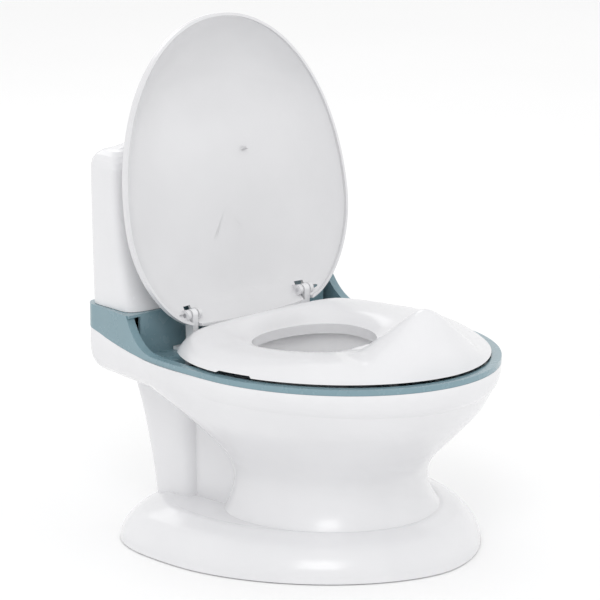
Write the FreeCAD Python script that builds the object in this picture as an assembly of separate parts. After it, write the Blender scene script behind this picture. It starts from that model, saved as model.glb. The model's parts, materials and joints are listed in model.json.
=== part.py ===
"""Toilet-shaped potty training chair, in millimetres.

X runs across the chair, the user faces -Y, +Z is up.  The origin is on the floor, half way
between the front of the rim and the back of the tank.  The lid is modelled closed and then
turned open, which is how the chair stands at rest.
"""
import FreeCAD, Part
import math
import os

Vec = FreeCAD.Vector
OUT = "parts"

# ------------------------------------------------------------------ driving dimensions
HALF_LENGTH = 184.0          # front of the rim and back of the tank saddle, from the origin
RIM_HALF_WIDTH = 150.0
RIM_CENTRE_Y = -13.0         # where the rim is widest
RIM_POWER = 1.98
SIDE_TAPER = 27.0            # how much narrower each side gets towards the back
SIDE_TAPER_POWER = 1.63
REAR_CORNER_R = 18.0
PAD_LIFT = 1.0               # the base stands this far off the floor on its pads

RIM_BOTTOM = 179.3           # seam between the white base and the coloured rim
RIM_TOP = 184.7
SEAM_REAR = 195.5            # the same seam at the back of the chair
SADDLE_TOP = 216.1
TANK_BOTTOM = 216.4
SWOOP_START_Y = 55.0         # the rim starts to climb to the tank here
SWOOP_POWER = 3.6
WALL = 3.0
RIM_LEDGE = 9.0

FLOOR_TOP = 176.0            # sunken floor of the rim, on which the pot's flange lies
FLOOR_THICK = 2.5

FOOT_HALF_WIDTH = 161.4
FOOT_CENTRE_Y = 20.0
FOOT_FRONT = 186.0
FOOT_REAR = 138.5
FOOT_POWERS = (1.80, 3.15)
FOOT_HEIGHT = 37.5
FOOT_FLANGE = 16.0

COLUMN_HALF_WIDTH = 88.0
COLUMN_FRONT_Y = 78.0
WEB_HALF_WIDTH = 77.0

TANK_HALF_WIDTH = 130.0
TANK_FRONT_Y = 110.0
TANK_REAR_Y = 182.0
TANK_TAPER = 0.11
TANK_LEAN = ((216.4, 0.0), (242.0, 8.5), (269.6, 14.0), (302.0, 19.0), (330.0, 22.0))
TANK_SHOULDER_Z = 347.0
TANK_SHOULDER_R = 16.0
TANK_TOP = 372.5
TANK_WALL = 2.6

HINGE_Y = 89.4
HINGE_Z = 210.7
LID_OPEN_DEG = 99.6
LID_LIP_Z = 204.0            # underside of the lip when the lid is closed
LID_HALF_WIDTH = 144.5
LID_CENTRE_Y = -4.4
LID_FRONT = 179.6
LID_REAR = 128.6
LID_REAR_CUT = 109.0
LID_EDGE = 5.0
LID_WALL = 2.0
LID_LIP_WIDTH = 2.6

PIN_R = 1.95
PIN_CLEARANCE = 0.05
POST_X = 74.5
POST_WIDTH = 6.5
EAR_WIDTH = 4.0
EAR_R = 5.0
POST_R = 5.2
HINGE_GAP = 1.8

SEAT_BOTTOM = 187.0
SEAT_HALF_WIDTH = 144.6
SEAT_CENTRE_Y = -11.6
SEAT_FRONT = 163.3
SEAT_REAR = 137.5
SEAT_REAR_CUT = 88.6
SEAT_CROWN = 200.5
SEAT_CREST = 0.40
SEAT_REAR_RISE = 4.5
SEAT_SKIN = 2.6
HOLE_HALF_WIDTH = 62.0
HOLE_CENTRE_Y = 8.0
HOLE_FRONT = 62.0
HOLE_REAR = 44.0
HOLE_LIP = 189.5
GUARD_Y = -136.0
GUARD_HEIGHT = 40.0
GUARD_HALF_WIDTH = 66.0
GUARD_FRONT = 46.0
GUARD_REAR = 62.0
GUARD_ROUND = 0.2
NOTCH_Y = (-55.0, -12.0)
NOTCH_TOP = 188.6

POT_HALF_WIDTH = 71.0
POT_FRONT = 74.0
POT_REAR = 58.0
POT_CENTRE_Y = 6.0
POT_DEPTH = 92.0
POT_WALL = 2.2
POT_FLANGE = 9.0
POT_FLANGE_THICK = 2.2

BUTTON_Y = 157.5
BUTTON_R = 11.0
BUTTON_HEIGHT = 14.0
BUTTON_GAP = 0.4
BUTTON_TRAVEL = 3.0
CASE_SIZE = (86.0, 34.0, 66.0)
CASE_TOP = 338.0
CASE_WALL = 2.0
CELL_R = 5.25
SPEAKER_Z = 299.5
CELL_LENGTH = 44.5
DOOR_SIZE = (64.0, 40.0)

RING_POINTS = 56


# ------------------------------------------------------------------ helpers
def power(value, exponent):
    return math.copysign(abs(value) ** exponent, value)


def ring_wire(points):
    """Smooth closed wire through the points."""
    curve = Part.BSplineCurve()
    curve.interpolate(Points=points, PeriodicFlag=True)
    return Part.Wire([curve.toShape()])


def egg_points(half_width, centre_y, front, rear, powers, inset=0.0, cut=None):
    """Egg outline as (x, y) pairs; cut flattens its back at centre_y + cut."""
    points = []
    for k in range(RING_POINTS):
        angle = 2.0 * math.pi * k / RING_POINTS
        c = math.cos(angle)
        s = math.sin(angle)
        exponent = 2.0 / (powers[0] if s < 0.0 else powers[1])
        reach = (front if s < 0.0 else rear) - inset
        x = (half_width - inset) * power(c, exponent)
        y = reach * power(s, exponent)
        if cut is not None and s > 0.0:
            y = soft_minimum(y, cut - inset)
        points.append((x, centre_y + y))
    return points


def soft_minimum(value, limit):
    """The smaller of the two, with a rounded change-over."""
    sharpness = 14.0
    if value <= 0.0:
        return value
    return (value ** -sharpness + limit ** -sharpness) ** (-1.0 / sharpness)


def lift(points, height):
    """(x, y) pairs to 3-D points at a height, or at a height that depends on x and y."""
    if callable(height):
        return [Vec(x, y, height(x, y)) for x, y in points]
    return [Vec(x, y, height) for x, y in points]


def loft(rings, ruled=False):
    return Part.makeLoft([ring_wire(ring) for ring in rings], True, ruled)


def box(low, high):
    size = Vec(*high) - Vec(*low)
    return Part.makeBox(size.x, size.y, size.z, Vec(*low))


def rod(radius, start, end):
    axis = Vec(*end) - Vec(*start)
    return Part.makeCylinder(radius, axis.Length, Vec(*start), axis)


def fuse(shapes):
    result = shapes[0]
    for shape in shapes[1:]:
        result = result.fuse(shape)
    return result


def group(shapes):
    return Part.makeCompound(shapes)


def mirrored(shape):
    return shape.mirror(Vec(0, 0, 0), Vec(1, 0, 0))


def both_sides(shape):
    return [shape, mirrored(shape)]


def screw(x, y, head_z, length, radius=1.9, head_r=3.8, head_h=2.2, up=1.0):
    """Pan-head screw whose shank points up (up=1) or down (up=-1)."""
    head = rod(head_r, (x, y, head_z - up * head_h), (x, y, head_z))
    shank = rod(radius, (x, y, head_z), (x, y, head_z + up * length))
    recess = box((x - 0.6, y - 2.2, head_z - up * head_h - 0.8), (x + 0.6, y + 2.2, head_z - up * head_h + 0.8))
    cross = box((x - 2.2, y - 0.6, head_z - up * head_h - 0.8), (x + 2.2, y + 0.6, head_z - up * head_h + 0.8))
    return head.fuse(shank).cut(recess).cut(cross)


def save(name, shape):
    shape.exportStep(os.path.join(OUT, name + ".step"))


# ------------------------------------------------------------------ rim outline and seams
def side_half_width(y):
    """Half width of the rim behind its widest point."""
    reach = max(0.0, y - RIM_CENTRE_Y) / (HALF_LENGTH - RIM_CENTRE_Y)
    return RIM_HALF_WIDTH - SIDE_TAPER * reach ** SIDE_TAPER_POWER


def rim_points(inset=0.0):
    """Rim outline: an ellipse in front, tapering sides and a rounded square back."""
    front_steps, side_steps, corner_steps, back_steps = 12, 9, 5, 4
    right = []
    for k in range(front_steps + 1):
        angle = math.pi / 2.0 * k / front_steps
        x = (RIM_HALF_WIDTH - inset) * power(math.sin(angle), 2.0 / RIM_POWER)
        reach = HALF_LENGTH + RIM_CENTRE_Y - inset
        right.append((x, RIM_CENTRE_Y - reach * power(math.cos(angle), 2.0 / RIM_POWER)))
    corner_y = HALF_LENGTH - REAR_CORNER_R
    for k in range(1, side_steps):
        y = RIM_CENTRE_Y + (corner_y - RIM_CENTRE_Y) * k / side_steps
        right.append((side_half_width(y) - inset, y))
    corner_x = side_half_width(corner_y) - REAR_CORNER_R
    radius = max(REAR_CORNER_R - inset, 2.0)
    centre_x = corner_x + REAR_CORNER_R - inset - radius
    centre_y = HALF_LENGTH - inset - radius
    for k in range(corner_steps + 1):
        angle = math.pi / 2.0 * k / corner_steps
        right.append((centre_x + radius * math.cos(angle), centre_y + radius * math.sin(angle)))
    for k in range(1, back_steps):
        right.append((centre_x * (1.0 - k / back_steps), HALF_LENGTH - inset))
    left = [(-x, y) for x, y in reversed(right[1:])]
    return right + [(0.0, HALF_LENGTH - inset)] + left


def rim_prism(inset, low, high):
    face = Part.Face(ring_wire(lift(rim_points(inset), low)))
    return face.extrude(Vec(0, 0, high - low))


def side_cutter(profile, low_z, high_z, half_width=240.0):
    """Solid between low_z or high_z and a smooth line in the Y-Z plane, across the chair."""
    line = Part.BSplineCurve()
    line.interpolate([Vec(-half_width, y, z) for y, z in profile])
    start = profile[0]
    end = profile[-1]
    flat = low_z if low_z is not None else high_z
    corner_a = Vec(-half_width, end[0], flat)
    corner_b = Vec(-half_width, start[0], flat)
    edges = [
        line.toShape(),
        Part.makeLine(Vec(-half_width, end[0], end[1]), corner_a),
        Part.makeLine(corner_a, corner_b),
        Part.makeLine(corner_b, Vec(-half_width, start[0], start[1])),
    ]
    return Part.Face(Part.Wire(edges)).extrude(Vec(2.0 * half_width, 0, 0))


def seam_profile(offset=0.0):
    """Seam line between base and rim: level, then rising under the tank."""
    rise = SEAM_REAR - RIM_BOTTOM
    points = []
    for y in (-260.0, -200.0, -120.0, -40.0, 30.0, 80.0, 110.0, 135.0, 160.0, 185.0, 215.0):
        share = min(max((y - 60.0) / (HALF_LENGTH - 60.0), 0.0), 1.3)
        points.append((y, RIM_BOTTOM + offset + rise * share ** 1.7))
    return points


def ridge_profile(offset=0.0):
    """Top of the rim: level, then sweeping up to the front of the tank."""
    points = [(-260.0, RIM_TOP + offset), (-150.0, RIM_TOP + offset), (-60.0, RIM_TOP + offset)]
    steps = 9
    for k in range(steps + 1):
        share = k / steps
        y = SWOOP_START_Y + (TANK_FRONT_Y + 2.0 - SWOOP_START_Y) * share
        points.append((y, RIM_TOP + offset + (SADDLE_TOP - RIM_TOP) * share ** SWOOP_POWER))
    return points


# ------------------------------------------------------------------ base
def bowl_rings():
    """(height, half width, front reach, rear reach, rear power) about the rim's centre."""
    return (
        (16.0, 112.0, 128.0, 84.0, 2.4),
        (36.0, 104.0, 112.0, 76.0, 2.4),
        (48.0, 97.0, 102.0, 72.0, 2.4),
        (62.0, 93.0, 97.0, 70.0, 2.4),
        (78.0, 94.0, 99.0, 70.0, 2.4),
        (90.0, 99.5, 107.0, 73.0, 2.4),
        (102.0, 108.0, 119.0, 84.0, 2.4),
        (119.6, 123.0, 137.0, 106.0, 2.4),
        (130.0, 131.5, 147.0, 124.0, 2.4),
        (141.0, 138.0, 155.5, 150.0, 2.5),
        (152.0, 143.0, 161.5, 172.0, 2.7),
        (165.0, 147.2, 167.0, 186.0, 2.9),
        (186.0, 150.3, 171.3, 192.0, 3.0),
    )


def bowl(inset):
    """Bowl and front pedestal as one waisted form."""
    drop = 4.0 if inset else 0.0
    rings = []
    for height, half_width, front, rear, rear_power in bowl_rings():
        points = egg_points(half_width, RIM_CENTRE_Y, front, rear, (RIM_POWER, rear_power), inset)
        rings.append(lift(points, height - drop if height < 20.0 else height))
    return loft(rings)


def shelf(inset):
    """Overhanging back that carries the tank, with a rounded lower edge."""
    rings = []
    for height, tuck in ((146.0, 30.0), (148.0, 21.0), (152.5, 11.5), (160.0, 4.0), (168.0, 1.0), (180.0, 0.0), (200.0, 0.0)):
        rings.append(lift(rim_points(tuck + inset), height + inset * (1.0 if height < 150.0 else 0.4)))
    return loft(rings)


def column(inset):
    """Rear column, leaning forward towards the foot."""
    rings = []
    for height, rear_y in ((2.0, 134.0), (35.0, 137.0), (52.0, 140.0), (82.0, 148.0), (109.0, 156.5), (128.0, 164.5), (156.0, 176.0)):
        centre_y = (COLUMN_FRONT_Y + rear_y) / 2.0
        reach = (rear_y - COLUMN_FRONT_Y) / 2.0
        points = egg_points(COLUMN_HALF_WIDTH, centre_y, reach, reach, (5.0, 5.0), inset)
        rings.append(lift(points, height - (4.0 if inset and height < 5.0 else 0.0)))
    return loft(rings)


def web(inset):
    """Flat recessed panel between the column and the front pedestal."""
    half = WEB_HALF_WIDTH - inset
    return box((-half, -20.0, -3.0 if inset else 2.0), (half, COLUMN_FRONT_Y + 14.0, 152.0))


def foot(inset):
    """Spreading foot with a rounded shoulder."""
    rings = []
    stations = ((0.0, 0.0), (5.0, 0.4), (12.0, 2.4), (20.0, 7.5), (27.0, 14.0), (32.0, 21.5), (35.5, 31.0), (FOOT_HEIGHT, 44.0))
    for height, tuck in stations:
        points = egg_points(FOOT_HALF_WIDTH, FOOT_CENTRE_Y, FOOT_FRONT, FOOT_REAR, FOOT_POWERS, tuck + inset)
        low = -4.0 if inset else PAD_LIFT
        rings.append(lift(points, max(height - inset, low) if height > 0.0 else low))
    return loft(rings)


def foot_flange():
    outer = Part.Face(ring_wire(lift(foot_points(1.0), PAD_LIFT)))
    inner = Part.Face(ring_wire(lift(foot_points(FOOT_FLANGE), PAD_LIFT)))
    return outer.cut(inner).extrude(Vec(0, 0, WALL))


def foot_points(inset):
    return egg_points(FOOT_HALF_WIDTH, FOOT_CENTRE_Y, FOOT_FRONT, FOOT_REAR, FOOT_POWERS, inset)


def pad_places():
    """Centres of the anti-slip pads, spread round the foot's flange."""
    ring = foot_points(FOOT_FLANGE / 2.0)
    return [ring[index] for index in (3, 11, 17, 25, 33, 39, 45, 51)]


def deck_screw_places():
    return [(124.0, -62.0), (-124.0, -62.0), (118.0, 84.0), (-118.0, 84.0)]


def screw_tabs(outer):
    """Ledges inside the base that the rim is screwed to from below."""
    tabs = []
    for x, y in deck_screw_places():
        low_x = min(x, x + math.copysign(40.0, x)) - 7.0
        high_x = max(x, x + math.copysign(40.0, x)) + 7.0
        tab = box((low_x, y - 8.0, 160.0), (high_x, y + 8.0, 163.0)).common(outer)
        tabs.append(tab.cut(rod(2.2, (x, y, 150.0), (x, y, 170.0))))
    return tabs


def base_shell():
    outer = fuse([bowl(0.0), shelf(0.0), column(0.0), web(0.0), foot(0.0)])
    inner = fuse([bowl(WALL), shelf(WALL), column(WALL), web(WALL), foot(WALL)])
    above_seam = side_cutter(seam_profile(), None, 320.0)
    shell = outer.cut(inner).cut(above_seam)
    shell = fuse([shell, foot_flange()] + screw_tabs(outer))
    return shell


def floor_pads():
    return group([rod(5.5, (x, y, 0.0), (x, y, PAD_LIFT + WALL)) for x, y in pad_places()])


def pad_holes():
    return group([rod(5.5, (x, y, -1.0), (x, y, PAD_LIFT + WALL + 1.0)) for x, y in pad_places()])


# ------------------------------------------------------------------ rim and tank
def well_prism(half_width, front, rear, low, high):
    points = egg_points(half_width, POT_CENTRE_Y, front, rear, (2.0, 2.2))
    face = Part.Face(ring_wire(lift(points, low)))
    return face.extrude(Vec(0, 0, high - low))


def tank_screw_places():
    return [(119.0, 122.0), (-119.0, 122.0), (112.0, 166.0), (-112.0, 166.0)]


def rim_collar():
    below_seam = side_cutter(seam_profile(0.2), 60.0, None)
    above_ridge = side_cutter(ridge_profile(), None, 320.0)
    above_ridge = above_ridge.common(box((-300, -300, 0), (300, TANK_FRONT_Y + 1.8, 400)))
    floor_low = FLOOR_TOP - FLOOR_THICK
    band = rim_prism(0.0, 150.0, SADDLE_TOP).cut(rim_prism(RIM_LEDGE, 140.0, 230.0))
    band = band.cut(below_seam).cut(above_ridge)
    inner_wall = rim_prism(WALL + 0.4, floor_low, RIM_TOP - 1.0).cut(rim_prism(RIM_LEDGE + 1.0, 140.0, 230.0))
    floor = rim_prism(RIM_LEDGE - 1.0, floor_low, FLOOR_TOP).common(box((-200, -200, 0), (200, TANK_FRONT_Y, 300)))
    saddle_front = box((-122.0, TANK_FRONT_Y - 1.4, floor_low), (122.0, TANK_FRONT_Y + 1.4, SADDLE_TOP))
    saddle_top = rim_prism(1.0, SADDLE_TOP - FLOOR_THICK, SADDLE_TOP)
    saddle_top = saddle_top.common(box((-200, TANK_FRONT_Y - 1.4, 0), (200, 200, 300)))
    bosses = [rod(5.0, (x, y, 163.2), (x, y, FLOOR_TOP - 0.5)) for x, y in deck_screw_places()]
    collar = fuse([band, inner_wall, floor, saddle_front, saddle_top] + bosses)
    collar = collar.cut(well_prism(POT_HALF_WIDTH + 1.0, POT_FRONT + 1.0, POT_REAR + 1.0, 150.0, 200.0))
    for x, y in deck_screw_places():
        collar = collar.cut(rod(1.9, (x, y, 160.0), (x, y, 174.5)))
    for x, y in tank_screw_places():
        collar = collar.cut(rod(2.1, (x, y, 205.0), (x, y, 230.0)))
    for x, y in post_screw_places():
        collar = collar.cut(rod(1.8, (x, y, 165.0), (x, y, 180.0)))
    return collar


def deck_screws():
    return group([screw(x, y, 160.0, 13.0) for x, y in deck_screw_places()])


def tank_screws():
    return group([screw(x, y, SADDLE_TOP - FLOOR_THICK, 14.0) for x, y in tank_screw_places()])


def tank_lean(z):
    """How far the tank's front face has moved back at a height."""
    for (z0, y0), (z1, y1) in zip(TANK_LEAN, TANK_LEAN[1:]):
        if z <= z1:
            return y0 + (y1 - y0) * (z - z0) / (z1 - z0)
    return TANK_LEAN[-1][1]


def tank_ring(z, tuck):
    """Rounded plan of the tank, narrower towards the back."""
    front_y = TANK_FRONT_Y + 1.0 + tank_lean(z) + tuck
    rear_y = TANK_REAR_Y - tuck
    centre_y = (front_y + rear_y) / 2.0
    reach = (rear_y - front_y) / 2.0
    points = []
    for x, y in egg_points(TANK_HALF_WIDTH - tuck, centre_y, reach, reach, (7.0, 7.0)):
        narrow = 1.0 - TANK_TAPER * max(0.0, y - TANK_FRONT_Y) / TANK_HALF_WIDTH
        points.append((x * narrow, y))
    return points


def tank_form(inset):
    """Walls of the tank and the rounded, crowned top over them."""
    low = TANK_BOTTOM - (3.0 if inset else 0.0)
    walls = [lift(tank_ring(TANK_BOTTOM, inset), low)]
    for z in (242.0, 269.6, 302.0, 325.0, TANK_SHOULDER_Z):
        walls.append(lift(tank_ring(z, inset), z))
    top = [walls[-1]]
    stations = 4
    radius = TANK_SHOULDER_R - 0.5 * inset
    for k in range(1, stations + 1):
        angle = math.pi / 2.0 * k / stations
        tuck = inset + radius * (1.0 - math.cos(angle))
        level = TANK_SHOULDER_Z + (TANK_SHOULDER_R - inset) * math.sin(angle)
        top.append(lift(tank_ring(TANK_SHOULDER_Z, tuck), level))
    crown = TANK_TOP - TANK_SHOULDER_Z - TANK_SHOULDER_R
    for share in (0.35, 0.65, 0.88, 1.0):
        narrow = math.sqrt(1.0 - 0.97 * share)
        ring = tank_ring(TANK_SHOULDER_Z, inset + radius + 3.0 * share)
        level = TANK_SHOULDER_Z + TANK_SHOULDER_R - inset + crown * share
        top.append(lift([(x * narrow, y) for x, y in ring], level))
    return loft(walls).fuse(loft(top, True))


def tank_shell():
    outer = tank_form(0.0)
    shell = outer.cut(tank_form(TANK_WALL))
    bosses = []
    for x, y in tank_screw_places():
        bosses.append(rod(6.5, (x, y, TANK_BOTTOM), (x, y, TANK_BOTTOM + 20.0)))
        rib_x = x + math.copysign(9.0, x)
        bosses.append(box((min(x, rib_x), y - 1.5, TANK_BOTTOM), (max(x, rib_x), y + 1.5, TANK_BOTTOM + 20.0)))
    shell = fuse([shell] + [boss.common(outer) for boss in bosses])
    for x, y in tank_screw_places():
        shell = shell.cut(rod(1.9, (x, y, TANK_BOTTOM - 1.0), (x, y, TANK_BOTTOM + 14.0)))
    shell = shell.cut(rod(BUTTON_R + BUTTON_GAP, (0, BUTTON_Y, CASE_TOP + 6.0), (0, BUTTON_Y, TANK_TOP + 5.0)))
    door_half = DOOR_SIZE[0] / 2.0 + 0.4
    door_low = door_bottom() - 0.4
    door_high = door_bottom() + DOOR_SIZE[1] + 0.4
    shell = shell.cut(box((-door_half, TANK_REAR_Y - 8.0, door_low), (door_half, TANK_REAR_Y + 5.0, door_high)))
    return shell


# ------------------------------------------------------------------ lid and its hinge
def lid_points(inset=0.0):
    return egg_points(LID_HALF_WIDTH, LID_CENTRE_Y, LID_FRONT, LID_REAR, (2.06, 2.06), inset, LID_REAR_CUT)


def lid_depth(y):
    """Depth of the closed lid's dome: shallow over the tank's front, deep over the guard."""
    swell = 1.0 / (1.0 + math.exp((y + 96.0) / 14.0))
    return 22.3 + 25.0 * swell


def lid_form(inset):
    """Dome over the lip outline; a positive inset gives the hollow inside it."""
    lip_inset = LID_LIP_WIDTH if inset else 0.0
    low = LID_LIP_Z - (1.0 if inset else 0.0)
    outline = lid_points(lip_inset)
    edge = Part.Face(ring_wire(lift(outline, low))).extrude(Vec(0, 0, LID_LIP_Z + LID_EDGE - inset - low))
    rings = [lift(outline, LID_LIP_Z + LID_EDGE - inset)]
    for share in (0.985, 0.955, 0.91, 0.85, 0.77, 0.67, 0.55, 0.42):
        points = [(x * share, LID_CENTRE_Y + (y - LID_CENTRE_Y) * share) for x, y in outline]
        rise = 1.0 - share ** 6
        rings.append(lift(points, lambda x, y, r=rise: LID_LIP_Z + LID_EDGE - inset + (lid_depth(y) - LID_EDGE) * r))
    middle = [(x * 0.28, LID_CENTRE_Y + (y - LID_CENTRE_Y) * 0.28) for x, y in outline]
    rings.append(lift(middle, LID_LIP_Z - inset + lid_depth(LID_CENTRE_Y)))
    return edge.fuse(loft(rings))


def lid_ears():
    """Knuckles either side of each hinge post, inside the lid's back edge."""
    blocks = []
    near = POST_X - POST_WIDTH / 2.0 - HINGE_GAP
    far = POST_X + POST_WIDTH / 2.0 + HINGE_GAP
    for low_x, high_x in ((near - EAR_WIDTH, near), (far, far + EAR_WIDTH)):
        ear = rod(EAR_R, (low_x, HINGE_Y, HINGE_Z), (high_x, HINGE_Y, HINGE_Z))
        arm = box((low_x, HINGE_Y - EAR_R, HINGE_Z), (high_x, HINGE_Y + EAR_R, LID_LIP_Z + 14.0))
        blocks += [ear, arm]
    return blocks


def hinge_slot():
    low_x = POST_X - POST_WIDTH / 2.0 - HINGE_GAP
    high_x = POST_X + POST_WIDTH / 2.0 + HINGE_GAP
    return box((low_x, HINGE_Y - 8.0, 190.0), (high_x, 130.0, 240.0))


def closed_lid():
    outer = lid_form(0.0)
    hollow = lid_form(LID_WALL)
    lid = outer.cut(hollow)
    lid = fuse([lid] + both_sides_all(lid_ears()))
    for slot in both_sides(hinge_slot()):
        lid = lid.cut(slot)
    bore = rod(PIN_R + PIN_CLEARANCE, (-100.0, HINGE_Y, HINGE_Z), (100.0, HINGE_Y, HINGE_Z))
    return lid.cut(bore)


def both_sides_all(shapes):
    return shapes + [mirrored(shape) for shape in shapes]


def opened(shape):
    """Turn a piece of the closed lid to its open rest position."""
    turned = shape.copy()
    turned.rotate(Vec(0, HINGE_Y, HINGE_Z), Vec(1, 0, 0), -LID_OPEN_DEG)
    return turned


def hinge_post(side):
    """Post on the rim's floor that holds one hinge pin."""
    low_x = side * POST_X - POST_WIDTH / 2.0
    high_x = side * POST_X + POST_WIDTH / 2.0
    top = rod(POST_R, (low_x, HINGE_Y, HINGE_Z), (high_x, HINGE_Y, HINGE_Z))
    stem = box((low_x, HINGE_Y - POST_R, FLOOR_TOP), (high_x, HINGE_Y + POST_R, HINGE_Z))
    base = box((low_x - 5.0, HINGE_Y - 10.0, FLOOR_TOP), (high_x + 5.0, HINGE_Y + 17.0, FLOOR_TOP + 3.0))
    post = fuse([top, stem, base])
    post = post.cut(rod(PIN_R, (low_x - 1.0, HINGE_Y, HINGE_Z), (high_x + 1.0, HINGE_Y, HINGE_Z)))
    for x, y in post_screw_places():
        post = post.cut(rod(1.5, (x, y, FLOOR_TOP - 1.0), (x, y, FLOOR_TOP + 9.0)))
    return post


def post_screw_places():
    return [(side * POST_X, HINGE_Y + shift) for side in (1.0, -1.0) for shift in (-3.0, 13.0)]


def post_screws():
    return group([screw(x, y, FLOOR_TOP - FLOOR_THICK, 5.0, 1.5, 3.0, 1.8) for x, y in post_screw_places()])


def hinge_pin(side):
    reach = POST_WIDTH / 2.0 + HINGE_GAP + EAR_WIDTH
    low_x = side * POST_X - reach
    high_x = side * POST_X + reach
    return rod(PIN_R, (low_x, HINGE_Y, HINGE_Z), (high_x, HINGE_Y, HINGE_Z))


# ------------------------------------------------------------------ seat
def guard_rise(x, y):
    """Splash guard: a cone with a rounded tip in the middle of the seat's front."""
    along = (GUARD_Y - y) / GUARD_FRONT if y < GUARD_Y else (y - GUARD_Y) / GUARD_REAR
    distance = math.hypot(x / GUARD_HALF_WIDTH, along)
    tip = math.hypot(1.0, GUARD_ROUND) - GUARD_ROUND
    slope = 1.0 - (math.hypot(distance, GUARD_ROUND) - GUARD_ROUND) / tip
    return GUARD_HEIGHT * max(0.0, slope) ** 1.25


def seat_points(inset=0.0):
    points = egg_points(SEAT_HALF_WIDTH, SEAT_CENTRE_Y, SEAT_FRONT, SEAT_REAR, (1.92, 1.9), inset, SEAT_REAR_CUT)
    return points


def hole_points(inset=0.0):
    return egg_points(HOLE_HALF_WIDTH, HOLE_CENTRE_Y, HOLE_FRONT, HOLE_REAR, (2.0, 2.1), inset)


def crown_height(share):
    """Height of the ring above its bottom edge, from the rim (0) to the hole (1)."""
    outer = 1.0 - max(0.0, 1.0 - share / SEAT_CREST) ** 2.6
    inner = max(0.0, (share - SEAT_CREST) / (1.0 - SEAT_CREST)) ** 2.4
    return (SEAT_CROWN - SEAT_BOTTOM) * outer - (SEAT_CROWN - HOLE_LIP) * inner


def rear_rise(y, share):
    back = min(max((y - 20.0) / 50.0, 0.0), 1.0)
    return SEAT_REAR_RISE * back * math.sin(math.pi * min(share * 1.1, 1.0)) ** 0.7


def seat_surface(share, drop=0.0):
    """Ring of surface points between the outer edge (0) and the hole (1)."""
    ring = []
    for (ox, oy), (ix, iy) in zip(seat_points(), hole_points()):
        x = ox + (ix - ox) * share
        y = oy + (iy - oy) * share
        rise = crown_height(share) + rear_rise(y, share)
        fade = min(1.0, share / 0.05, (1.0 - share) / 0.05)
        ring.append(Vec(x, y, SEAT_BOTTOM + rise + fade * guard_rise(x, y) - drop))
    return ring


def seat_form(inset):
    shares = (0.02, 0.06, 0.12, 0.2, 0.28, 0.36, 0.44, 0.52, 0.62, 0.72, 0.82, 0.91)
    if not inset:
        rings = [lift(seat_points(), SEAT_BOTTOM)]
        rings += [seat_surface(share) for share in shares]
        rings.append(lift(hole_points(), HOLE_LIP))
        return loft(rings)
    rings = [lift(seat_points(inset), SEAT_BOTTOM - 2.0)]
    rings += [seat_surface(share, inset) for share in shares if 0.03 < share < 0.95]
    rings.append(lift(hole_points(-inset), HOLE_LIP - inset - 1.6))
    return loft(rings)


def seat_notch():
    """Finger scoop under the side of the skirt."""
    length = NOTCH_Y[1] - NOTCH_Y[0]
    slope = 5.0
    low = SEAT_BOTTOM - 1.0
    corners = [(NOTCH_Y[0], low), (NOTCH_Y[0] + slope, NOTCH_TOP), (NOTCH_Y[0] + length - slope, NOTCH_TOP), (NOTCH_Y[1], low)]
    wire = Part.makePolygon([Vec(125.0, y, z) for y, z in corners + corners[:1]])
    return Part.Face(wire).extrude(Vec(40.0, 0, 0))


def hole_prism(inset, low, high):
    face = Part.Face(ring_wire(lift(hole_points(inset), low)))
    return face.extrude(Vec(0, 0, high - low))


def seat_foot_places():
    return [(118.0, -58.0), (-118.0, -58.0), (112.0, 52.0), (-112.0, 52.0), (48.0, -141.0), (-48.0, -141.0)]


def seat_ring():
    outer = seat_form(0.0)
    hollow = seat_form(SEAT_SKIN)
    skirt = hole_prism(-SEAT_SKIN - 0.5, SEAT_BOTTOM - 7.0, HOLE_LIP - 0.5)
    ring = outer.cut(hollow).fuse(skirt).cut(hole_prism(0.0, 150.0, 230.0))
    studs = []
    for x, y in seat_foot_places():
        studs.append(rod(4.0, (x, y, SEAT_BOTTOM - 1.0), (x, y, 240.0)).common(outer))
    ring = fuse([ring] + studs)
    for notch in both_sides(seat_notch()):
        ring = ring.cut(notch)
    return ring


def seat_bumpers():
    low = FLOOR_TOP + 0.3
    return group([rod(5.0, (x, y, low), (x, y, SEAT_BOTTOM - 1.0)) for x, y in seat_foot_places()])


# ------------------------------------------------------------------ pot
def pot_ring(z, tuck, share=0.0):
    points = egg_points(POT_HALF_WIDTH, POT_CENTRE_Y, POT_FRONT, POT_REAR, (2.0, 2.2), tuck)
    centre = POT_CENTRE_Y - 4.0
    shrunk = [(x * (1.0 - share), centre + (y - centre) * (1.0 - share)) for x, y in points]
    return lift(shrunk, z)


def pot_form(inset):
    top = FLOOR_TOP + (3.0 if inset else 1.0)
    low = FLOOR_TOP - POT_DEPTH + inset
    rings = [pot_ring(top, inset), pot_ring(FLOOR_TOP - 6.0, inset)]
    for drop, tuck in ((0.25, 1.5), (0.5, 5.0), (0.7, 10.0), (0.84, 17.0), (0.93, 25.0), (0.98, 34.0)):
        rings.append(pot_ring(FLOOR_TOP - (FLOOR_TOP - low) * drop, inset + tuck))
    rings.append(pot_ring(low, inset + 41.0))
    return loft(rings)


def inner_pot():
    flange = well_prism(POT_HALF_WIDTH + POT_FLANGE, POT_FRONT + POT_FLANGE, POT_REAR + POT_FLANGE,
                        FLOOR_TOP + 0.05, FLOOR_TOP + POT_FLANGE_THICK)
    pot = pot_form(0.0).fuse(flange).cut(pot_form(POT_WALL))
    foot_ring = well_prism(POT_HALF_WIDTH - 44.0, POT_FRONT - 44.0, POT_REAR - 44.0,
                           FLOOR_TOP - POT_DEPTH - 1.5, FLOOR_TOP - POT_DEPTH + 1.0)
    return pot.fuse(foot_ring)


# ------------------------------------------------------------------ flush-sound unit
def door_bottom():
    return CASE_TOP - CASE_SIZE[2] + 6.0


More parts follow.
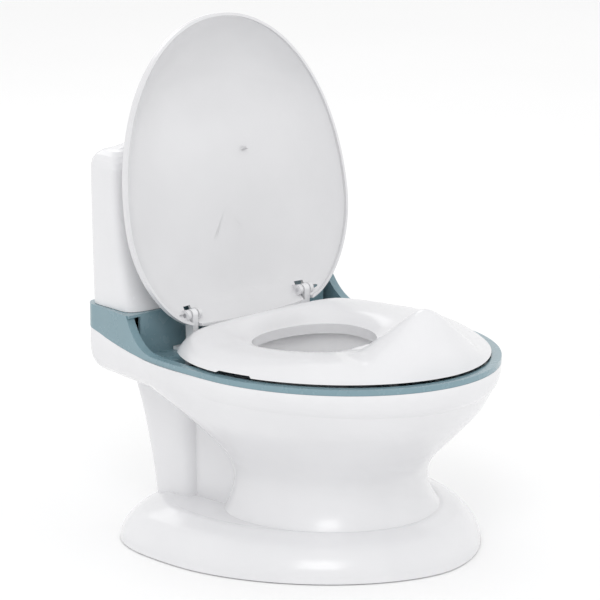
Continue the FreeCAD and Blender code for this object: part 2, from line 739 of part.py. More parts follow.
def case_low():
    return (-CASE_SIZE[0] / 2.0, TANK_REAR_Y - TANK_WALL - CASE_SIZE[1], CASE_TOP - CASE_SIZE[2])


def sound_case():
    """Box fixed behind the tank's back wall, open towards the battery door."""
    low = Vec(*case_low())
    high = Vec(low.x + CASE_SIZE[0], low.y + CASE_SIZE[1] - 0.4, CASE_TOP)
    case = box(low, high)
    inner_low = (low.x + CASE_WALL, low.y + CASE_WALL, low.z + CASE_WALL)
    case = case.cut(box(inner_low, (high.x - CASE_WALL, high.y + 5.0, high.z - CASE_WALL)))
    shelf_z = door_bottom() + DOOR_SIZE[1] + 2.0
    case = case.fuse(box((low.x + 1.0, low.y + 1.0, shelf_z), (high.x - 1.0, high.y, shelf_z + CASE_WALL)))
    case = case.cut(rod(4.0, (0, BUTTON_Y, CASE_TOP - 5.0), (0, BUTTON_Y, CASE_TOP + 5.0)))
    holes = [rod(1.0, (x, low.y - 2.0, z), (x, low.y + 5.0, z)) for x in (-6.0, 0.0, 6.0) for z in (SPEAKER_Z - 6.0, SPEAKER_Z, SPEAKER_Z + 6.0)]
    case = case.cut(group(holes))
    boss = rod(3.6, (0, low.y + 1.0, door_screw_z()), (0, high.y - 3.0, door_screw_z()))
    case = case.fuse(boss.fuse(box((-1.2, low.y + 1.0, low.z + 1.0), (1.2, high.y - 6.0, door_screw_z()))))
    return case.cut(rod(1.7, (0, high.y - 16.0, door_screw_z()), (0, high.y + 1.0, door_screw_z())))


def door_screw_z():
    return door_bottom() + 4.5


def cell_places():
    y = TANK_REAR_Y - 16.0
    return [(y, door_bottom() + 16.5), (y, door_bottom() + 29.5)]


def batteries():
    cells = []
    for y, z in cell_places():
        half = CELL_LENGTH / 2.0
        body = rod(CELL_R, (-half, y, z), (half - 1.0, y, z))
        cells.append(body.fuse(rod(1.9, (half - 1.0, y, z), (half, y, z))))
    return group(cells)


def battery_contacts():
    plates = []
    for side in (-1.0, 1.0):
        x = side * (CELL_LENGTH / 2.0 + 0.8)
        for y, z in cell_places():
            plates.append(box((x - 0.4, y - 4.5, z - 4.5), (x + 0.4, y + 4.5, z + 4.5)))
    return group(plates)


def speaker():
    low = case_low()
    y = low[1] + CASE_WALL
    cone = Part.makeCone(11.0, 5.0, 5.0, Vec(0, y + 3.1, SPEAKER_Z), Vec(0, 1, 0))
    return rod(11.5, (0, y + 0.1, SPEAKER_Z), (0, y + 3.1, SPEAKER_Z)).fuse(cone)


def circuit_board():
    low = case_low()
    z = CASE_TOP - 11.0
    board = box((low[0] + 3.0, low[1] + 3.0, z), (-low[0] - 3.0, low[1] + CASE_SIZE[1] - 3.0, z + 1.6))
    chip = box((14.0, BUTTON_Y - 6.0, z + 1.6), (26.0, BUTTON_Y + 4.0, z + 3.2))
    return board.fuse(chip)


def push_switch():
    z = CASE_TOP - 9.4
    body = box((-3.0, BUTTON_Y - 3.0, z), (3.0, BUTTON_Y + 3.0, z + 3.0))
    return body.fuse(rod(1.7, (0, BUTTON_Y, z + 3.0), (0, BUTTON_Y, z + 4.2)))


def flush_button():
    """Round cap with a stem that reaches the switch."""
    top = TANK_TOP + 3.0
    cap = rod(BUTTON_R, (0, BUTTON_Y, top - BUTTON_HEIGHT), (0, BUTTON_Y, top))
    edges = [edge for edge in cap.Edges if abs(edge.BoundBox.ZMin - top) < 0.01 and edge.BoundBox.XLength > 1.0]
    cap = cap.makeFillet(1.6, edges)
    cap = cap.cut(rod(BUTTON_R - 2.0, (0, BUTTON_Y, top - BUTTON_HEIGHT - 1.0), (0, BUTTON_Y, top - 2.4)))
    stem = rod(3.0, (0, BUTTON_Y, CASE_TOP - 9.4 + 4.2 + BUTTON_TRAVEL + 0.2), (0, BUTTON_Y, top - 2.0))
    return cap.fuse(stem)


def button_spring():
    """Sleeve with the size of the coil spring round the stem."""
    low = (0, BUTTON_Y, CASE_TOP + 0.1)
    high = (0, BUTTON_Y, TANK_TOP + 3.0 - 2.5)
    return rod(6.0, low, high).cut(rod(5.0, (0, BUTTON_Y, CASE_TOP - 1.0), (0, BUTTON_Y, TANK_TOP + 9.0)))


def battery_door():
    half = DOOR_SIZE[0] / 2.0
    low = door_bottom()
    panel = box((-half, TANK_REAR_Y - TANK_WALL, low), (half, TANK_REAR_Y - 0.1, low + DOOR_SIZE[1]))
    panel = panel.cut(rod(2.0, (0, 100.0, door_screw_z()), (0, 220.0, door_screw_z())))
    grip = rod(5.0, (-8.0, TANK_REAR_Y + 2.6, low + DOOR_SIZE[1] - 8.0), (8.0, TANK_REAR_Y + 2.6, low + DOOR_SIZE[1] - 8.0))
    return panel.cut(grip)


def battery_door_screw():
    z = door_screw_z()
    head = rod(3.6, (0, TANK_REAR_Y - 0.1, z), (0, TANK_REAR_Y + 1.4, z))
    shank = rod(1.6, (0, TANK_REAR_Y - 13.0, z), (0, TANK_REAR_Y - 0.1, z))
    slot = box((-2.4, TANK_REAR_Y + 0.6, z - 0.5), (2.4, TANK_REAR_Y + 3.0, z + 0.5))
    slot_across = box((-0.5, TANK_REAR_Y + 0.6, z - 2.4), (0.5, TANK_REAR_Y + 3.0, z + 2.4))
    return head.fuse(shank).cut(slot).cut(slot_across)


# ------------------------------------------------------------------ build
def main():
    os.makedirs(OUT, exist_ok=True)
    save("base_shell", base_shell().cut(pad_holes()))
    save("floor_pads", floor_pads())
    save("rim_collar", rim_collar())
    save("rim_screws", deck_screws())
    save("tank_shell", tank_shell())
    save("tank_screws", tank_screws())
    save("lid", opened(closed_lid()))
    for name, side in (("left", -1.0), ("right", 1.0)):
        save("hinge_post_" + name, hinge_post(side))
        save("hinge_pin_" + name, hinge_pin(side))
    save("hinge_post_screws", post_screws())
    save("seat_ring", seat_ring())
    save("seat_bumpers", seat_bumpers())
    save("inner_pot", inner_pot())
    save("sound_case", sound_case())
    save("circuit_board", circuit_board())
    save("push_switch", push_switch())
    save("speaker", speaker())
    save("batteries", batteries())
    save("battery_contacts", battery_contacts())
    save("flush_button", flush_button())
    save("button_spring", button_spring())
    save("battery_door", battery_door())
    save("battery_door_screw", battery_door_screw())


main()
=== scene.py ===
"""Toilet-shaped potty training chair: looks, stage and camera.

Units are metres.  X runs across the chair, the child faces -Y and +Z is up.
"""
import json
import math

import bmesh
import bpy
from mathutils import Matrix, Vector


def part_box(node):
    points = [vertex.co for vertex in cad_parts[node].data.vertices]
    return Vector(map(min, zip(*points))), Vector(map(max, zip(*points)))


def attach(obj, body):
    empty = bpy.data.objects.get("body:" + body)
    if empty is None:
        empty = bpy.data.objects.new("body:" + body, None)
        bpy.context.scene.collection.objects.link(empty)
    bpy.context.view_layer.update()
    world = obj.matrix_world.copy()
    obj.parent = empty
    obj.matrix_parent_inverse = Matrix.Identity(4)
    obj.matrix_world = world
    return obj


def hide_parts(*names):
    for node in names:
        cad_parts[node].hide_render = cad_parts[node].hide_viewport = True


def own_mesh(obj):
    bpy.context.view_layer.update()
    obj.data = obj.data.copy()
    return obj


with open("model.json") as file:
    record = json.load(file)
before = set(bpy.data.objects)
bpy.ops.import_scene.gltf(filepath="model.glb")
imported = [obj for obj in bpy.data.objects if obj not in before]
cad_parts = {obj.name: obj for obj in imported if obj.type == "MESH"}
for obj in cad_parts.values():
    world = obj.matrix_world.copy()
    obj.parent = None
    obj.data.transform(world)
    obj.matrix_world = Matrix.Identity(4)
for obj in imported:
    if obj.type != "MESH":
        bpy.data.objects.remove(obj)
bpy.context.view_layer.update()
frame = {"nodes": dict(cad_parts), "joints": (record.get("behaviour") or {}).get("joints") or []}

bl_info = {
    "name": "Potty training chair",
    "version": (1, 0, 0),
    "blender": (4, 5, 0),
    "location": "3D View > Sidebar > Potty chair",
    "description": "Builds the looks of a toilet-shaped potty training chair",
    "category": "Object",
}

NODES = frame["nodes"]

WHITE_NODES = ("base_shell", "tank_shell", "seat_ring", "battery_door")
HINGE_NODES = ("hinge_post_left", "hinge_post_right")
STEEL_NODES = ("hinge_pin_left", "hinge_pin_right", "battery_contacts")
SCREW_NODES = ("rim_screws", "tank_screws", "hinge_post_screws", "battery_door_screw")
SOFT_NODES = ("floor_pads", "seat_bumpers")


JOINTS = {joint["name"]: joint for joint in frame["joints"]}

# The lid's dome as it lies when shut, in metres
LID_LIP_Z = 0.204
LID_EDGE = 0.005
LID_WALL = 0.002
LID_CENTRE_Y = -0.0044
LID_HALF_WIDTH = 0.1445
LID_FRONT = 0.1796
LID_REAR = 0.1286
LID_POWER = 2.06
DISH_DEPTH = 0.0223
DISH_SWELL = 0.025
SWELL_START_Y = -0.096
SWELL_LENGTH = 0.014
DOME_POWER = 6
DOME_LOW_Z = LID_LIP_Z + 0.015
PLATE_SHARE = 0.283
BLEND_SHARES = (0.55, 0.77)
PATCH_SHARES = (0.85, 0.7, 0.55, 0.4, 0.25, 0.12)
SHARP_EDGE = math.radians(30.0)
# painted shade: the lid's white is darkened by this factor
LID_PAINTED_SHADE = 0.92

CAMERA_AIM = (0.0, 0.02154, 0.22302)
LIGHT_AIM = (0.0, 0.0, 0.22)


# ------------------------------------------------------------------ settings
class PottyColours(bpy.types.PropertyGroup):
    """Colours of the moulded parts."""

    white: bpy.props.FloatVectorProperty(
        name="White plastic",
        description="Base, tank, lid and seat",
        subtype="COLOR",
        size=3,
        min=0.0,
        max=1.0,
        default=(0.76, 0.76, 0.775),
    )
    # painted light: the pot's white is lighter than the other mouldings so the inside of the hole reads
    # bright
    pot: bpy.props.FloatVectorProperty(
        name="Pot plastic",
        description="Removable pot",
        subtype="COLOR",
        size=3,
        min=0.0,
        max=1.0,
        default=(0.90, 0.90, 0.91),
    )
    rim: bpy.props.FloatVectorProperty(
        name="Rim plastic",
        description="Coloured rim and tank saddle",
        subtype="COLOR",
        size=3,
        min=0.0,
        max=1.0,
        default=(0.190, 0.300, 0.345),
    )
    pads: bpy.props.FloatVectorProperty(
        name="Soft pads",
        description="Floor pads and bumpers",
        subtype="COLOR",
        size=3,
        min=0.0,
        max=1.0,
        default=(0.30, 0.31, 0.33),
    )
    button: bpy.props.FloatVectorProperty(
        name="Button",
        description="Flush button on the tank",
        subtype="COLOR",
        size=3,
        min=0.0,
        max=1.0,
        default=(0.42, 0.44, 0.47),
    )


class PottySizes(bpy.types.PropertyGroup):
    """Sizes of the details that are added to the moulded parts."""

    spring_wire: bpy.props.FloatProperty(
        name="Spring wire",
        description="Thickness of the button spring's wire",
        subtype="DISTANCE",
        unit="LENGTH",
        default=0.0008,
    )
    spring_turns: bpy.props.IntProperty(
        name="Spring turns",
        description="Turns of the button spring",
        default=8,
        min=3,
    )


class PottyFinish(bpy.types.PropertyGroup):
    """Surface finish of the moulded parts."""

    white_gloss: bpy.props.FloatProperty(
        name="White roughness",
        description="Roughness of the white plastic",
        default=0.22,
        min=0.05,
        max=1.0,
    )
    rim_gloss: bpy.props.FloatProperty(
        name="Rim roughness",
        description="Roughness of the rim plastic",
        default=0.26,
        min=0.05,
        max=1.0,
    )


class PottyStage(bpy.types.PropertyGroup):
    """Camera and floor."""

    azimuth: bpy.props.FloatProperty(
        name="Camera azimuth",
        description="Turn of the camera round the chair, 0 looks along +Y",
        subtype="ANGLE",
        unit="ROTATION",
        default=math.radians(-45.74),
    )
    elevation: bpy.props.FloatProperty(
        name="Camera elevation",
        description="Height of the camera over the chair as an angle",
        subtype="ANGLE",
        unit="ROTATION",
        default=math.radians(13.18),
    )
    distance: bpy.props.FloatProperty(
        name="Camera distance",
        description="From the camera to its aim",
        subtype="DISTANCE",
        unit="LENGTH",
        default=2.79575,
    )
    lens: bpy.props.FloatProperty(
        name="Lens",
        description="Focal length in millimetres",
        default=180.0,
    )
    floor_size: bpy.props.FloatProperty(
        name="Floor size",
        description="Edge of the square floor",
        subtype="DISTANCE",
        unit="LENGTH",
        default=14.0,
    )


# ------------------------------------------------------------------ materials
class Nodes:
    """Small helper round one material's node tree."""

    def __init__(self, name):
        self.material = bpy.data.materials.new(name)
        self.material.use_nodes = True
        self.tree = self.material.node_tree
        self.tree.nodes.clear()
        self.shader = self.add("ShaderNodeBsdfPrincipled")
        output = self.add("ShaderNodeOutputMaterial")
        self.link(self.shader, "BSDF", output, "Surface")
        self.place = self.add("ShaderNodeTexCoord")

    def add(self, kind, **settings):
        node = self.tree.nodes.new(kind)
        for key, value in settings.items():
            if hasattr(node, key):
                setattr(node, key, value)
            else:
                node.inputs[key].default_value = value
        return node

    def link(self, source, output, target, socket):
        self.tree.links.new(source.outputs[output], target.inputs[socket])

    def noise(self, scale, detail=3.0, roughness=0.55):
        node = self.add("ShaderNodeTexNoise", Scale=scale, Detail=detail, Roughness=roughness)
        self.link(self.place, "Object", node, "Vector")
        return node

    def ramp(self, source, output, low, high, start, end):
        node = self.add("ShaderNodeValToRGB")
        node.color_ramp.elements[0].position = start
        node.color_ramp.elements[0].color = (*low, 1.0)
        node.color_ramp.elements[1].position = end
        node.color_ramp.elements[1].color = (*high, 1.0)
        self.link(source, output, node, "Fac")
        return node

    def painted_edge_highlight(self, tone, colour):
        """Mixes a lighter tone in on convex edges as a painted highlight."""
        geometry = self.add("ShaderNodeNewGeometry")
        # mask of the painted edge highlight, from pointiness
        edges = self.add("ShaderNodeMapRange")
        edges.inputs["From Min"].default_value = 0.52
        edges.inputs["From Max"].default_value = 0.62
        edges.inputs["To Max"].default_value = 0.5
        self.link(geometry, "Pointiness", edges, "Value")
        mix = self.add("ShaderNodeMix")
        mix.data_type = "RGBA"
        self.link(edges, "Result", mix, "Factor")
        # The colour sockets of a Mix node are inputs 6 and 7 and output 2
        self.tree.links.new(tone.outputs["Color"], mix.inputs[6])
        mix.inputs[7].default_value = (*tinted(colour, 1.12), 1.0)
        return mix

    def bump(self, source, output, strength, distance, under=None):
        node = self.add("ShaderNodeBump", Strength=strength, Distance=distance)
        self.link(source, output, node, "Height")
        if under is not None:
            self.link(under, "Normal", node, "Normal")
        return node


def tinted(colour, factor):
    """The colour made lighter or darker."""
    return tuple(min(1.0, channel * factor) for channel in colour)


def moulded_plastic(name, colour, gloss, coat=0.35):
    """Glossy injection-moulded plastic: faint flow clouding, fine skin and uneven polish."""
    nodes = Nodes(name)
    clouds = nodes.noise(9.0, 3.0)
    tone = nodes.ramp(clouds, "Fac", tinted(colour, 0.97), tinted(colour, 1.02), 0.35, 0.68)
    # painted highlight: a lighter tone on convex edges
    edge_highlight = nodes.painted_edge_highlight(tone, colour)
    nodes.tree.links.new(edge_highlight.outputs[2], nodes.shader.inputs["Base Color"])
    polish = nodes.noise(55.0, 4.0)
    sheen = nodes.add("ShaderNodeMapRange")
    sheen.inputs["To Min"].default_value = gloss - 0.03
    sheen.inputs["To Max"].default_value = gloss + 0.05
    nodes.link(polish, "Fac", sheen, "Value")
    nodes.link(sheen, "Result", nodes.shader, "Roughness")
    sink = nodes.bump(nodes.noise(26.0, 2.0), "Fac", 0.05, 0.0006)
    skin = nodes.bump(nodes.noise(1400.0, 2.0), "Fac", 0.04, 0.00006, sink)
    nodes.link(skin, "Normal", nodes.shader, "Normal")
    nodes.shader.inputs["IOR"].default_value = 1.49
    nodes.shader.inputs["Coat Weight"].default_value = coat
    nodes.shader.inputs["Coat Roughness"].default_value = 0.12
    nodes.shader.inputs["Subsurface Weight"].default_value = 0.04
    nodes.shader.inputs["Subsurface Radius"].default_value = (0.004, 0.004, 0.004)
    return nodes.material


def soft_elastomer(name, colour):
    """Matt soft pad with a fine grain."""
    nodes = Nodes(name)
    tone = nodes.ramp(nodes.noise(300.0), "Fac", tinted(colour, 0.9), tinted(colour, 1.1), 0.3, 0.7)
    nodes.link(tone, "Color", nodes.shader, "Base Color")
    grain = nodes.bump(nodes.noise(2500.0, 2.0), "Fac", 0.25, 0.0001)
    nodes.link(grain, "Normal", nodes.shader, "Normal")
    nodes.shader.inputs["Roughness"].default_value = 0.75
    return nodes.material


def plated_steel(name, colour, stretch):
    """Zinc-plated metal with fine turning lines."""
    nodes = Nodes(name)
    lines = nodes.add("ShaderNodeMapping")
    lines.inputs["Scale"].default_value = stretch
    nodes.link(nodes.place, "Object", lines, "Vector")
    grain = nodes.add("ShaderNodeTexNoise", Scale=220.0, Detail=3.0)
    nodes.link(lines, "Vector", grain, "Vector")
    tone = nodes.ramp(grain, "Fac", tinted(colour, 0.86), tinted(colour, 1.06), 0.3, 0.7)
    nodes.link(tone, "Color", nodes.shader, "Base Color")
    rough = nodes.add("ShaderNodeMapRange")
    rough.inputs["To Min"].default_value = 0.22
    rough.inputs["To Max"].default_value = 0.38
    nodes.link(grain, "Fac", rough, "Value")
    nodes.link(rough, "Result", nodes.shader, "Roughness")
    nodes.shader.inputs["Metallic"].default_value = 1.0
    return nodes.material


def circuit_laminate(name):
    """Green board with faint copper tracks under the resist."""
    nodes = Nodes(name)
    tracks = nodes.add("ShaderNodeTexBrick", Scale=180.0)
    tracks.inputs["Color1"].default_value = (0.010, 0.085, 0.030, 1.0)
    tracks.inputs["Color2"].default_value = (0.014, 0.110, 0.040, 1.0)
    tracks.inputs["Mortar"].default_value = (0.030, 0.170, 0.060, 1.0)
    nodes.link(nodes.place, "Object", tracks, "Vector")
    nodes.link(tracks, "Color", nodes.shader, "Base Color")
    nodes.shader.inputs["Roughness"].default_value = 0.35
    return nodes.material


def studio_floor(name):
    """Plain pale floor."""
    nodes = Nodes(name)
    tone = nodes.ramp(nodes.noise(0.8), "Fac", (0.93, 0.93, 0.93), (0.95, 0.95, 0.95), 0.3, 0.7)
    nodes.link(tone, "Color", nodes.shader, "Base Color")
    nodes.shader.inputs["Roughness"].default_value = 0.8
    nodes.shader.inputs["Specular IOR Level"].default_value = 0.1
    return nodes.material


def put_on(node_name, material):
    """Gives a CAD node its material."""
    mesh = NODES[node_name].data
    mesh.materials.clear()
    mesh.materials.append(material)


# ------------------------------------------------------------------ lid
def lid_share(x, y):
    """0 at the middle of the lid, 1 at its lip."""
    reach = LID_FRONT if y < LID_CENTRE_Y else LID_REAR
    across = abs(x / LID_HALF_WIDTH) ** LID_POWER
    along = abs((y - LID_CENTRE_Y) / reach) ** LID_POWER
    return (across + along) ** (1.0 / LID_POWER)


def dome_height(x, y):
    """Height of the shut lid's outer skin."""
    depth = DISH_DEPTH + DISH_SWELL / (1.0 + math.exp((y - SWELL_START_Y) / SWELL_LENGTH))
    return LID_LIP_Z + LID_EDGE + (depth - LID_EDGE) * (1.0 - lid_share(x, y) ** DOME_POWER)


def shut_lid_matrix():
    """Turns the open lid to its shut place."""
    joint = JOINTS["lid_hinge"]
    hinge = Vector(joint["pos_m"])
    turn = Matrix.Rotation(math.radians(joint["range_deg"][1]), 4, Vector(joint["axis"]))
    return Matrix.Translation(hinge) @ turn @ Matrix.Translation(-hinge)


def open_loops(shell):
    """Rims left in the two skins where the flat middle plate was taken out."""
    waiting = {edge for edge in shell.edges if edge.is_boundary}
    loops = []
    while waiting:
        edge = waiting.pop()
        start, tip = edge.verts
        loop = [start, tip]
        while tip is not start:
            edge = next(other for other in tip.link_edges if other in waiting)
            waiting.remove(edge)
            tip = edge.other_vert(tip)
            loop.append(tip)
        loops.append(loop[:-1])
    return loops


def fill_dome(shell, loop, drop):
    """Closes one rim with rings that follow the dome."""
    outer = loop
    patch = []
    for share in PATCH_SHARES:
        inner = []
        for vert in loop:
            x = vert.co.x * share
            y = LID_CENTRE_Y + (vert.co.y - LID_CENTRE_Y) * share
            inner.append(shell.verts.new((x, y, dome_height(x, y) - drop)))
        for k in range(len(loop)):
            patch.append(shell.faces.new((outer[k - 1], outer[k], inner[k], inner[k - 1])))
        outer = inner
    middle = shell.verts.new((0.0, LID_CENTRE_Y, dome_height(0.0, LID_CENTRE_Y) - drop))
    for k in range(len(loop)):
        patch.append(shell.faces.new((outer[k - 1], outer[k], middle)))
    for face in patch:
        face.normal_update()
        if (face.normal.z > 0.0) != (drop == 0.0):
            face.normal_flip()


def smooth_dish(shell):
    """Brings both skins of the shut lid onto one even dome."""
    blend_start, blend_end = BLEND_SHARES
    shell.normal_update()
    outside = {vert: vert.normal.z > 0.0 for vert in shell.verts}
    plates = [f for f in shell.faces if all(lid_share(v.co.x, v.co.y) < PLATE_SHARE for v in f.verts)]
    bmesh.ops.delete(shell, geom=plates, context="FACES")
    for vert in shell.verts:
        share = lid_share(vert.co.x, vert.co.y)
        drop = 0.0 if outside[vert] else LID_WALL
        weight = min(1.0, max(0.0, (blend_end - share) / (blend_end - blend_start)))
        if vert.co.z > DOME_LOW_Z:
            target = dome_height(vert.co.x, vert.co.y) - drop
            vert.co.z += (target - vert.co.z) * weight
    for loop in open_loops(shell):
        fill_dome(shell, loop, 0.0 if outside[loop[0]] else LID_WALL)


# ------------------------------------------------------------------ operators
class PottyBuild:
    """Shared by the build operators."""

    bl_options = {"REGISTER", "UNDO"}


class POTTY_OT_white_mouldings(PottyBuild, bpy.types.Operator):
    """Gives the base, tank, lid, seat and hinge posts their glossy white"""

    bl_idname = "potty.white_mouldings"
    bl_label = "White mouldings"

    def execute(self, context):
        gloss = context.scene.potty_finish.white_gloss
        white = moulded_plastic("white_plastic", tuple(context.scene.potty_colours.white), gloss)
        for name in WHITE_NODES + HINGE_NODES:
            put_on(name, white)
        return {"FINISHED"}


class POTTY_OT_lid(PottyBuild, bpy.types.Operator):
    """Makes the lid with an even dish and gives it a darker copy of the white plastic as painted shade"""

    bl_idname = "potty.lid"
    bl_label = "Lid"

    def execute(self, context):
        shut = shut_lid_matrix()
        shell = bmesh.new()
        shell.from_mesh(NODES["lid"].data)
        bmesh.ops.remove_doubles(shell, verts=shell.verts, dist=1e-6)
        shell.transform(shut)
        smooth_dish(shell)
        shell.transform(shut.inverted())
        for edge in shell.edges:
            edge.smooth = edge.calc_face_angle(0.0) < SHARP_EDGE
        for face in shell.faces:
            face.smooth = True
        mesh = bpy.data.meshes.new("lid_dish")
        shell.to_mesh(mesh)
        shell.free()
        if not mesh.polygons:
            raise RuntimeError("The lid came out empty")
        if "custom_normal" in mesh.attributes:
            mesh.attributes.remove(mesh.attributes["custom_normal"])
        mesh.materials.clear()
        # painted shade: the lid gets a darker copy of the white plastic
        white = tinted(tuple(context.scene.potty_colours.white), LID_PAINTED_SHADE)
        mesh.materials.append(moulded_plastic("lid_plastic_shaded", white, context.scene.potty_finish.white_gloss))
        lid = bpy.data.objects.new("lid_dish", mesh)
        context.scene.collection.objects.link(lid)
        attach(lid, "lid")
        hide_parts("lid")
        return {"FINISHED"}


class POTTY_OT_rim(PottyBuild, bpy.types.Operator):
    """Gives the coloured rim its dusty teal"""

    bl_idname = "potty.rim"
    bl_label = "Rim"

    def execute(self, context):
        gloss = context.scene.potty_finish.rim_gloss
        put_on("rim_collar", moulded_plastic("rim_plastic", tuple(context.scene.potty_colours.rim), gloss))
        return {"FINISHED"}


class POTTY_OT_pot(PottyBuild, bpy.types.Operator):
    """Gives the pot a white set lighter than the other mouldings, as painted light inside the hole"""

    bl_idname = "potty.pot"
    bl_label = "Pot"

    def execute(self, context):
        # painted light: the lighter pot white brightens the inside of the hole
        put_on("inner_pot", moulded_plastic("pot_plastic", tuple(context.scene.potty_colours.pot), 0.38, 0.1))
        return {"FINISHED"}


class POTTY_OT_soft_stops(PottyBuild, bpy.types.Operator):
    """Gives the floor pads and bumpers their soft grey"""

    bl_idname = "potty.soft_stops"
    bl_label = "Soft stops"

    def execute(self, context):
        pads = soft_elastomer("soft_pads", tuple(context.scene.potty_colours.pads))
        for name in SOFT_NODES:
            put_on(name, pads)
        return {"FINISHED"}


class POTTY_OT_fasteners(PottyBuild, bpy.types.Operator):
    """Gives the screws, hinge pins and contacts their plated steel"""

    bl_idname = "potty.fasteners"
    bl_label = "Fasteners"

    def execute(self, context):
        screws = plated_steel("screw_steel", (0.55, 0.55, 0.56), (1.0, 1.0, 12.0))
        pins = plated_steel("pin_steel", (0.60, 0.60, 0.62), (14.0, 1.0, 1.0))
        for name in SCREW_NODES:
            put_on(name, screws)
        for name in STEEL_NODES:
            put_on(name, pins)
        return {"FINISHED"}


class POTTY_OT_sound_unit(PottyBuild, bpy.types.Operator):
    """Finishes the hidden flush-sound unit and its button"""

    bl_idname = "potty.sound_unit"
    bl_label = "Sound unit"

    def execute(self, context):
        case = moulded_plastic("case_plastic", (0.17, 0.175, 0.19), 0.5, 0.0)
        put_on("sound_case", case)
        put_on("push_switch", case)
        put_on("speaker", soft_elastomer("speaker_cone", (0.02, 0.02, 0.023)))
        put_on("circuit_board", circuit_laminate("circuit_board"))
        put_on("batteries", moulded_plastic("battery_sleeve", (0.08, 0.10, 0.14), 0.3))
        button = tuple(context.scene.potty_colours.button)
        put_on("flush_button", moulded_plastic("button_plastic", button, 0.2))
        return {"FINISHED"}


def spring_tree(material, low, high, radius, wire, turns):
    """Geometry Nodes tree that sweeps a wire along a spiral."""
    tree = bpy.data.node_groups.new("coil_spring", "GeometryNodeTree")
    sockets = {}
    for name, kind, value in (
        ("Turns", "NodeSocketFloat", turns),
        ("Coil radius", "NodeSocketFloat", radius),
        ("Free height", "NodeSocketFloat", high - low),
        ("Wire radius", "NodeSocketFloat", wire / 2.0),
    ):
        socket = tree.interface.new_socket(name, in_out="INPUT", socket_type=kind)
        sockets[socket.identifier] = float(value)
    tree.interface.new_socket("Geometry", in_out="OUTPUT", socket_type="NodeSocketGeometry")
    inputs = tree.nodes.new("NodeGroupInput")
    output = tree.nodes.new("NodeGroupOutput")
    spiral = tree.nodes.new("GeometryNodeCurveSpiral")
    spiral.inputs["Resolution"].default_value = 40
    ring = tree.nodes.new("GeometryNodeCurvePrimitiveCircle")
    ring.inputs["Resolution"].default_value = 12
    sweep = tree.nodes.new("GeometryNodeCurveToMesh")
    sweep.inputs["Fill Caps"].default_value = True
    realise = tree.nodes.new("GeometryNodeRealizeInstances")
    finish = tree.nodes.new("GeometryNodeSetMaterial")
    finish.inputs["Material"].default_value = material
    links = tree.links
    links.new(inputs.outputs["Turns"], spiral.inputs["Rotations"])
    links.new(inputs.outputs["Coil radius"], spiral.inputs["Start Radius"])
    links.new(inputs.outputs["Coil radius"], spiral.inputs["End Radius"])
    links.new(inputs.outputs["Free height"], spiral.inputs["Height"])
    links.new(inputs.outputs["Wire radius"], ring.inputs["Radius"])
    links.new(spiral.outputs["Curve"], sweep.inputs["Curve"])
    links.new(ring.outputs["Curve"], sweep.inputs["Profile Curve"])
    links.new(sweep.outputs["Mesh"], realise.inputs["Geometry"])
    links.new(realise.outputs["Geometry"], finish.inputs["Geometry"])
    links.new(finish.outputs["Geometry"], output.inputs["Geometry"])
    return tree, sockets


class POTTY_OT_button_spring(PottyBuild, bpy.types.Operator):
    """Winds the button's coil spring in place of its sleeve"""

    bl_idname = "potty.button_spring"
    bl_label = "Button spring"

    def execute(self, context):
        sizes = context.scene.potty_sizes
        low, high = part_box("button_spring")
        wire = sizes.spring_wire
        radius = (high.x - low.x) / 2.0 - wire / 2.0
        steel = plated_steel("spring_steel", (0.6, 0.6, 0.62), (1.0, 1.0, 1.0))
        tree, sockets = spring_tree(steel, low.z + wire, high.z - wire, radius, wire, sizes.spring_turns)
        holder = bpy.data.objects.new("spring_maker", bpy.data.meshes.new("spring_maker"))
        context.scene.collection.objects.link(holder)
        modifier = holder.modifiers.new("Coil", "NODES")
        modifier.node_group = tree
        for identifier, value in sockets.items():
            modifier[identifier] = value
        context.view_layer.update()
        mesh = bpy.data.meshes.new_from_object(holder.evaluated_get(context.evaluated_depsgraph_get()))
        bpy.data.objects.remove(holder)
        if not mesh.polygons:
            raise RuntimeError("The spring came out empty")
        centre = (low + high) / 2.0
        mesh.transform(Matrix.Translation((centre.x, centre.y, low.z + wire)))
        coil = bpy.data.objects.new("coil_spring", mesh)
        context.scene.collection.objects.link(coil)
        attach(coil, "chair")
        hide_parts("button_spring")
        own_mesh(coil)
        return {"FINISHED"}


def aimed(obj, place, aim):
    obj.location = place
    obj.rotation_euler = (Vector(aim) - Vector(place)).to_track_quat("-Z", "Y").to_euler()


def soft_box(context, name, place, size, power):
    light = bpy.data.lights.new(name, "AREA")
    light.shape = "RECTANGLE"
    light.size, light.size_y = size
    light.energy = power
    obj = bpy.data.objects.new(name, light)
    context.scene.collection.objects.link(obj)
    aimed(obj, place, LIGHT_AIM)


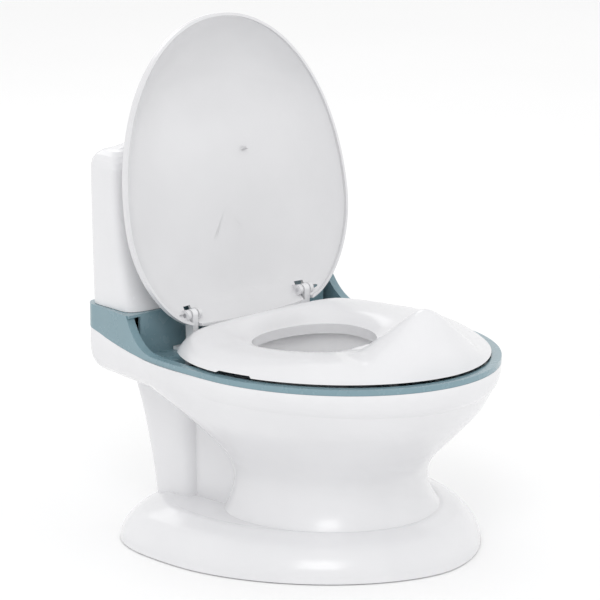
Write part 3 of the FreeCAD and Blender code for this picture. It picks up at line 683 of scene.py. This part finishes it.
class POTTY_OT_stage(PottyBuild, bpy.types.Operator):
    """Lays the pale floor and sets the lights and the camera"""

    bl_idname = "potty.stage"
    bl_label = "Stage"

    def execute(self, context):
        stage = context.scene.potty_stage
        self.lay_floor(context, stage)
        self.set_lights(context)
        self.set_camera(context, stage)
        return {"FINISHED"}

    def lay_floor(self, context, stage):
        half = stage.floor_size / 2.0
        mesh = bpy.data.meshes.new("floor")
        corners = [(-half, -half, 0.0), (half, -half, 0.0), (half, half, 0.0), (-half, half, 0.0)]
        mesh.from_pydata(corners, [], [(0, 1, 2, 3)])
        mesh.materials.append(studio_floor("studio_floor"))
        floor = bpy.data.objects.new("floor", mesh)
        context.scene.collection.objects.link(floor)

    def set_lights(self, context):
        world = bpy.data.worlds.new("studio")
        world.use_nodes = True
        background = world.node_tree.nodes["Background"]
        background.inputs["Color"].default_value = (1.0, 1.0, 1.0, 1.0)
        background.inputs["Strength"].default_value = 1.0
        context.scene.world = world
        soft_box(context, "key", (-1.6, -1.3, 2.1), (0.9, 1.1), 11.0)
        soft_box(context, "fill", (1.9, -1.7, 1.2), (1.2, 1.6), 1.0)
        soft_box(context, "back", (0.8, 2.0, 1.8), (1.6, 1.0), 5.0)

    def set_camera(self, context, stage):
        camera = bpy.data.cameras.new("camera")
        camera.lens = stage.lens
        camera.sensor_width = 36.0
        camera.clip_end = 60.0
        obj = bpy.data.objects.new("camera", camera)
        context.scene.collection.objects.link(obj)
        aim = Vector(CAMERA_AIM)
        a, e = stage.azimuth, stage.elevation
        back = Vector((math.sin(a) * math.cos(e), -math.cos(a) * math.cos(e), math.sin(e)))
        aimed(obj, aim + back * stage.distance, aim)
        context.scene.camera = obj
        context.scene.view_settings.view_transform = "Standard"


class POTTY_PT_panel(bpy.types.Panel):
    """Lists the build steps"""

    bl_idname = "POTTY_PT_panel"
    bl_label = "Potty chair"
    bl_space_type = "VIEW_3D"
    bl_region_type = "UI"
    bl_category = "Potty chair"

    def draw(self, context):
        layout = self.layout
        for name in GROUPS:
            group = getattr(context.scene, name)
            box = layout.box()
            for key in group.__annotations__:
                box.prop(group, key)
        for operator in BUILD_STEPS:
            layout.operator(operator.bl_idname)


BUILD_STEPS = (
    POTTY_OT_white_mouldings,
    POTTY_OT_lid,
    POTTY_OT_rim,
    POTTY_OT_pot,
    POTTY_OT_soft_stops,
    POTTY_OT_fasteners,
    POTTY_OT_sound_unit,
    POTTY_OT_button_spring,
    POTTY_OT_stage,
)
GROUPS = {
    "potty_colours": PottyColours,
    "potty_sizes": PottySizes,
    "potty_finish": PottyFinish,
    "potty_stage": PottyStage,
}
CLASSES = tuple(GROUPS.values()) + BUILD_STEPS + (POTTY_PT_panel,)


def register():
    for cls in CLASSES:
        bpy.utils.register_class(cls)
    for name, group in GROUPS.items():
        setattr(bpy.types.Scene, name, bpy.props.PointerProperty(type=group))


def unregister():
    for name in GROUPS:
        delattr(bpy.types.Scene, name)
    for cls in reversed(CLASSES):
        bpy.utils.unregister_class(cls)


def corners(bounds):
    return [list(corner) for corner in bounds]


def main():
    register()
    for step in BUILD_STEPS:
        area, action = step.bl_idname.split(".")
        getattr(getattr(bpy.ops, area), action)()


if __name__ == "__main__":
    main()
